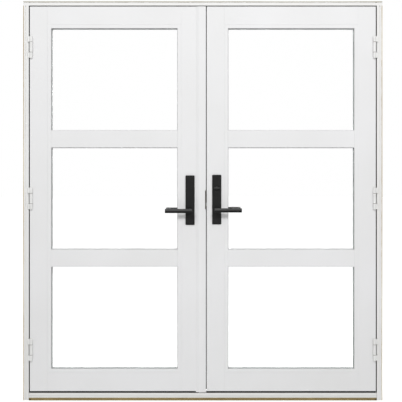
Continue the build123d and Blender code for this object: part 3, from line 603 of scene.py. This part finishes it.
# Zinc-plated steel: bright grey with a cool and warm drift and drawn lines along the bar
zinc = {
    "color": "#B8BCC0", "shade": "#C6C2B6", "cloudMm": 25, "lineMm": 0.4, "lineDepthMm": 0.02,
    "roughness": (0.24, 0.40), "upright": (1, 1, 0.03), "level": (0.03, 1, 1)}


def zincPlate(name, run):
    material, tree, shader = newMaterial(name, {"Metallic": 1.0})
    point = addNode(tree, "ShaderNodeTexCoord", output="Object")
    rough, scored = drawnLines(tree, point, zinc[run], zinc)
    wire(tree, shader, {
        "Base Color": cloudedTone(tree, point, zinc), "Roughness": rough, "Normal": scored})
    return material


hingeWhite = whitePowderCoat()
plateBlack = blackPowderCoat("SatinBlackPowderCoat", "plate")
gripShadedAndHighlit = blackPowderCoat("SatinBlackPowderCoatShadedAndHighlit", "grip")
bronzeFinish = rubbedBronze()
zincUpright = zincPlate("ZincPlateDrawnUpright", "upright")
zincLevel = zincPlate("ZincPlateDrawnLevel", "level")
dress(hingeWhite, *[side + part for side in sides
                    for part in ("hinge_frame_leaves", "hinge_door_leaves", "hinge_pins")])
dress(plateBlack, *[side + part for side in sides for part in ("inside_plate", "outside_plate")])
dress(gripShadedAndHighlit, "thumbturn", *[
    side + part for side in sides for part in ("inside_lever", "outside_lever")])
dress(bronzeFinish, "strike_plate", "lock_faceplate", "key_cylinder")
dress(zincUpright, "top_shoot_bolt", "bottom_shoot_bolt", "gear_case", "lock_case")
dress(zincLevel, "head_keeper", "sill_keeper", "latch_bolt", "deadbolt",
      "left_spindle", "right_spindle")
print("stage: hardware")


# Modelling by hand: start a piece, select on it, cut it, set copies of it
topReach = 0.00001   # faces this near to a piece's highest point are its top


def startPiece(name):
    piece = bpy.context.object
    piece.name = name
    piece.data.name = name
    return piece


def onlyThis(piece):
    bpy.ops.object.select_all(action="DESELECT")
    piece.select_set(True)
    bpy.context.view_layer.objects.active = piece


def selectTop(piece):
    # edit mode, with the faces at the piece's top selected
    top = max(vertex.co.z for vertex in piece.data.vertices)
    bpy.ops.object.mode_set(mode="EDIT")
    bpy.ops.mesh.select_mode(type="FACE")
    bpy.ops.mesh.select_all(action="DESELECT")
    bpy.ops.object.mode_set(mode="OBJECT")
    for face in piece.data.polygons:
        face.select = face.center.z > top - topReach
    bpy.ops.object.mode_set(mode="EDIT")


def cutOut(piece, cutter):
    onlyThis(piece)
    cut = piece.modifiers.new("Recess", "BOOLEAN")
    cut.object = cutter
    cut.operation = "DIFFERENCE"
    cut.solver = "EXACT"
    bpy.ops.object.modifier_apply(modifier=cut.name)
    bpy.data.objects.remove(cutter)


def setPiece(model, name, place, facing, body, material):
    # a copy with its own mesh, its head turned to face that way
    piece = model.copy()
    piece.data = model.data.copy()
    piece.name = name
    piece.data.name = name
    bpy.context.scene.collection.objects.link(piece)
    turn = Vector(facing).to_track_quat("Z", "Y").to_matrix().to_4x4()
    piece.data.transform(Matrix.Translation(Vector(place)) @ turn)
    piece.data.materials.clear()
    piece.data.materials.append(material)
    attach(piece, body)
    return piece


# Countersunk screw head with a cross recess, modelled once at the origin facing +Z
screw = {
    "radius": 0.0038, "sunk": 0.0012, "rise": 0.0003, "sides": 24, "dome": 0.0003,
    "crown": 0.00009, "rimShare": 0.22, "crownShare": 0.3,
    "slotLength": 0.0044, "slotWidth": 0.0010, "slotDepth": 0.0009, "smoothAngle": 35}


def modelScrew():
    depth = screw["sunk"] + screw["rise"]
    bpy.ops.object.select_all(action="DESELECT")
    bpy.ops.mesh.primitive_cylinder_add(vertices=screw["sides"], radius=screw["radius"],
                                        depth=depth, location=(0, 0, screw["rise"] - depth / 2))
    head = startPiece("screwHead")
    bpy.ops.object.transform_apply(location=True, rotation=True, scale=True)
    selectTop(head)
    bpy.ops.mesh.inset(thickness=screw["radius"] * screw["rimShare"], depth=screw["dome"])
    bpy.ops.mesh.inset(thickness=screw["radius"] * screw["crownShare"], depth=screw["crown"])
    bpy.ops.object.mode_set(mode="OBJECT")
    slotTop = screw["rise"] + 2 * screw["dome"]
    for turn in (0, math.pi / 2):
        bpy.ops.object.select_all(action="DESELECT")
        bpy.ops.mesh.primitive_cube_add(size=1, location=(0, 0, slotTop - screw["slotDepth"] / 2))
        cutter = bpy.context.object
        cutter.scale = (screw["slotLength"], screw["slotWidth"], screw["slotDepth"])
        cutter.rotation_euler.z = turn
        bpy.ops.object.transform_apply(location=True, rotation=True, scale=True)
        cutOut(head, cutter)
    onlyThis(head)
    bpy.ops.object.shade_smooth_by_angle(angle=math.radians(screw["smoothAngle"]))
    return head


hingeScrews = {"upMm": (-38, 0, 38), "inMm": (24, 12, 24)}


def setHingeScrews(model):
    for side, hand in (("left_", -1), ("right_", 1)):
        for row, height in enumerate(hingeHeights):
            for spot, (up, inward) in enumerate(zip(hingeScrews["upMm"], hingeScrews["inMm"])):
                y = roomFace + inward / 1000
                z = height + up / 1000
                label = f"{side}hinge{row + 1}Screw{spot + 1}"
                setPiece(model, label + "Frame", (hand * jambSide, y, z), (-hand, 0, 0),
                         "frame", hingeWhite)
                setPiece(model, label + "Leaf", (hand * leafSide.x, y, z), (hand, 0, 0),
                         side + "door", hingeWhite)


# Screws of the strike, the faceplate and the two keepers
plateScrews = {"strikeLow": 0.0065, "strikeHigh": 0.005, "faceplate": 0.012,
               "keeperShares": (0.15, 0.85)}


def setPlateScrews(model):
    low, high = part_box("strike_plate")
    for label, z in (("Low", low.z + plateScrews["strikeLow"]),
                     ("High", high.z - plateScrews["strikeHigh"])):
        setPiece(model, "strikeScrew" + label, (high.x, leafMiddle, z), (1, 0, 0),
                 "left_door", bronzeFinish)
    low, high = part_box("lock_faceplate")
    for label, z in (("Low", low.z + plateScrews["faceplate"]),
                     ("High", high.z - plateScrews["faceplate"])):
        setPiece(model, "faceplateScrew" + label, (low.x, leafMiddle, z), (-1, 0, 0),
                 "right_door", bronzeFinish)
    for keeper, facing, corner in (("head", -1, 0), ("sill", 1, 1)):
        low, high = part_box(keeper + "_keeper")
        for label, share in zip(("Left", "Right"), plateScrews["keeperShares"]):
            place = (low.x + share * (high.x - low.x), leafMiddle, (low.z, high.z)[corner])
            setPiece(model, keeper + "KeeperScrew" + label, place, (0, 0, facing),
                     "frame", zincLevel)


# Screws that hold the threshold cap down, white heads nearly flush with it, clear of the sweeps
capScrews = {"fromMiddle": (0.25, 0.65), "inFromRoom": 0.0215, "sunk": 0.0005}


def setCapScrews(model):
    y = roomFace + capScrews["inFromRoom"]
    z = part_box("threshold_cap")[1].z - capScrews["sunk"]
    for hand, side in ((-1, "Left"), (1, "Right")):
        for number, away in enumerate(capScrews["fromMiddle"]):
            setPiece(model, f"capScrew{side}{number + 1}", (hand * away, y, z), (0, 0, 1),
                     "frame", capFinish)


screwHead = modelScrew()
setHingeScrews(screwHead)
setPlateScrews(screwHead)
setCapScrews(screwHead)
bpy.data.objects.remove(screwHead)
print("stage: screws")


# Set screw under each lever's neck: a grub screw with a hex socket, which holds the lever
# on its spindle
setScrew = {
    "radius": 0.0022, "length": 0.0016, "proud": 0.0002, "sides": 24, "bevel": 0.00015,
    "socket": 0.0012, "socketDepth": 0.0009, "fromPlate": 0.009, "neckRadius": 0.0095}


def modelSetScrew():
    top = setScrew["proud"]
    bpy.ops.object.select_all(action="DESELECT")
    bpy.ops.mesh.primitive_cylinder_add(
        vertices=setScrew["sides"], radius=setScrew["radius"], depth=setScrew["length"],
        location=(0, 0, top - setScrew["length"] / 2))
    grub = startPiece("grubScrew")
    bpy.ops.object.transform_apply(location=True, rotation=True, scale=True)
    selectTop(grub)
    bpy.ops.mesh.inset(thickness=setScrew["bevel"], depth=setScrew["bevel"])
    bpy.ops.object.mode_set(mode="OBJECT")
    bpy.ops.object.select_all(action="DESELECT")
    bpy.ops.mesh.primitive_cylinder_add(
        vertices=6, radius=setScrew["socket"], depth=2 * setScrew["socketDepth"],
        location=(0, 0, top + setScrew["bevel"]))
    cutOut(grub, bpy.context.object)
    onlyThis(grub)
    bpy.ops.object.shade_smooth_by_angle(angle=math.radians(screw["smoothAngle"]))
    return grub


def setGrubScrews(model):
    for side in sides:
        low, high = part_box(side + "spindle")
        x = (low.x + high.x) / 2
        z = (low.z + high.z) / 2 - setScrew["neckRadius"]
        for face, corner, hand in (("inside", 0, -1), ("outside", 1, 1)):
            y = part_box(f"{side}{face}_plate")[corner].y + hand * setScrew["fromPlate"]
            setPiece(model, f"{side}{face}GrubScrew", (x, y, z), (0, 0, -1),
                     side + "lever", gripShadedAndHighlit)


grubScrew = modelSetScrew()
setGrubScrews(grubScrew)
bpy.data.objects.remove(grubScrew)
print("stage: set screws")


# Studio: a softbox at each side in front, an even sky all round, a pale floor and the camera
# at eye height. The softboxes stand too high for the panes to mirror them
studio = {
    "skyLight": 0.44, "skyColor": "#FFFFFF", "softboxSize": (0.9, 0.9),
    "softboxAim": (0.0, -0.06, 1.4),
    "softboxes": {"left": (-1.4, -4.6, 3.3, 65), "right": (1.4, -4.6, 3.3, 73)},  # X Y Z, watts
    "floorColor": "#ECECEC", "floorRoughness": 0.9, "floorGlow": 0.65, "floorWidth": 60,
    "floorDrop": 0.0005}
view = {
    "distance": 4.70, "height": 1.19, "lens": 83.24, "sensor": 36.0,
    "shiftX": -0.0045, "shiftY": -0.0892}


def seenDirectly(tree):
    # 1 for what the camera sees, also by way of glass or a mirror finish
    path = addNode(tree, "ShaderNodeLightPath").node.outputs
    seen = path["Is Camera Ray"]
    for ray in ("Is Glossy Ray", "Is Transmission Ray"):
        seen = addNode(tree, "ShaderNodeMath", {"operation": "ADD", "use_clamp": True}, {
            0: seen, 1: path[ray]})
    return seen


def makeSky():
    world = bpy.data.worlds.new("StudioSky")
    bpy.context.scene.world = world
    world.use_nodes = True
    tree = world.node_tree
    tree.nodes.clear()
    light = addNode(tree, "ShaderNodeBackground", {
        "Color": studio["skyColor"], "Strength": studio["skyLight"]})
    white = addNode(tree, "ShaderNodeBackground", {"Color": "#FFFFFF", "Strength": 1.0})
    mix = addNode(tree, "ShaderNodeMixShader", None, {0: seenDirectly(tree), 1: light, 2: white})
    addNode(tree, "ShaderNodeOutputWorld", None, {"Surface": mix})


def makeFloor():
    bpy.ops.object.select_all(action="DESELECT")
    bpy.ops.mesh.primitive_plane_add(size=studio["floorWidth"],
                                     location=(0, 0, -studio["floorDrop"]))
    floor = startPiece("studioFloor")
    material, tree, shader = newMaterial("PaleFloor", {
        "Base Color": studio["floorColor"], "Roughness": studio["floorRoughness"],
        "Emission Color": "#FFFFFF"})
    glow = addNode(tree, "ShaderNodeMath", {"operation": "MULTIPLY", 1: studio["floorGlow"]}, {
        0: seenDirectly(tree)})
    wire(tree, shader, {"Emission Strength": glow})
    floor.data.materials.append(material)


def makeSoftbox(name, x, y, z, watts):
    bpy.ops.object.light_add(type="AREA", location=(x, y, z))
    lamp = bpy.context.object
    lamp.name = name + "Softbox"
    lamp.data.shape = "RECTANGLE"
    lamp.data.size, lamp.data.size_y = studio["softboxSize"]
    lamp.data.energy = watts
    aim = Vector(studio["softboxAim"]) - Vector((x, y, z))
    lamp.rotation_euler = aim.to_track_quat("-Z", "Y").to_euler()


def makeCamera():
    bpy.ops.object.camera_add(location=(0, roomFace - view["distance"], view["height"]),
                              rotation=(math.radians(90), 0, 0))
    camera = bpy.context.object
    camera.data.lens = view["lens"]
    camera.data.sensor_width = view["sensor"]
    camera.data.shift_x = view["shiftX"]
    camera.data.shift_y = view["shiftY"]
    bpy.context.scene.camera = camera


makeSky()
makeFloor()
for name, place in studio["softboxes"].items():
    makeSoftbox(name, *place)
makeCamera()
bpy.context.scene.view_settings.view_transform = "Standard"
print("stage: studio")

bpy.context.view_layer.update()
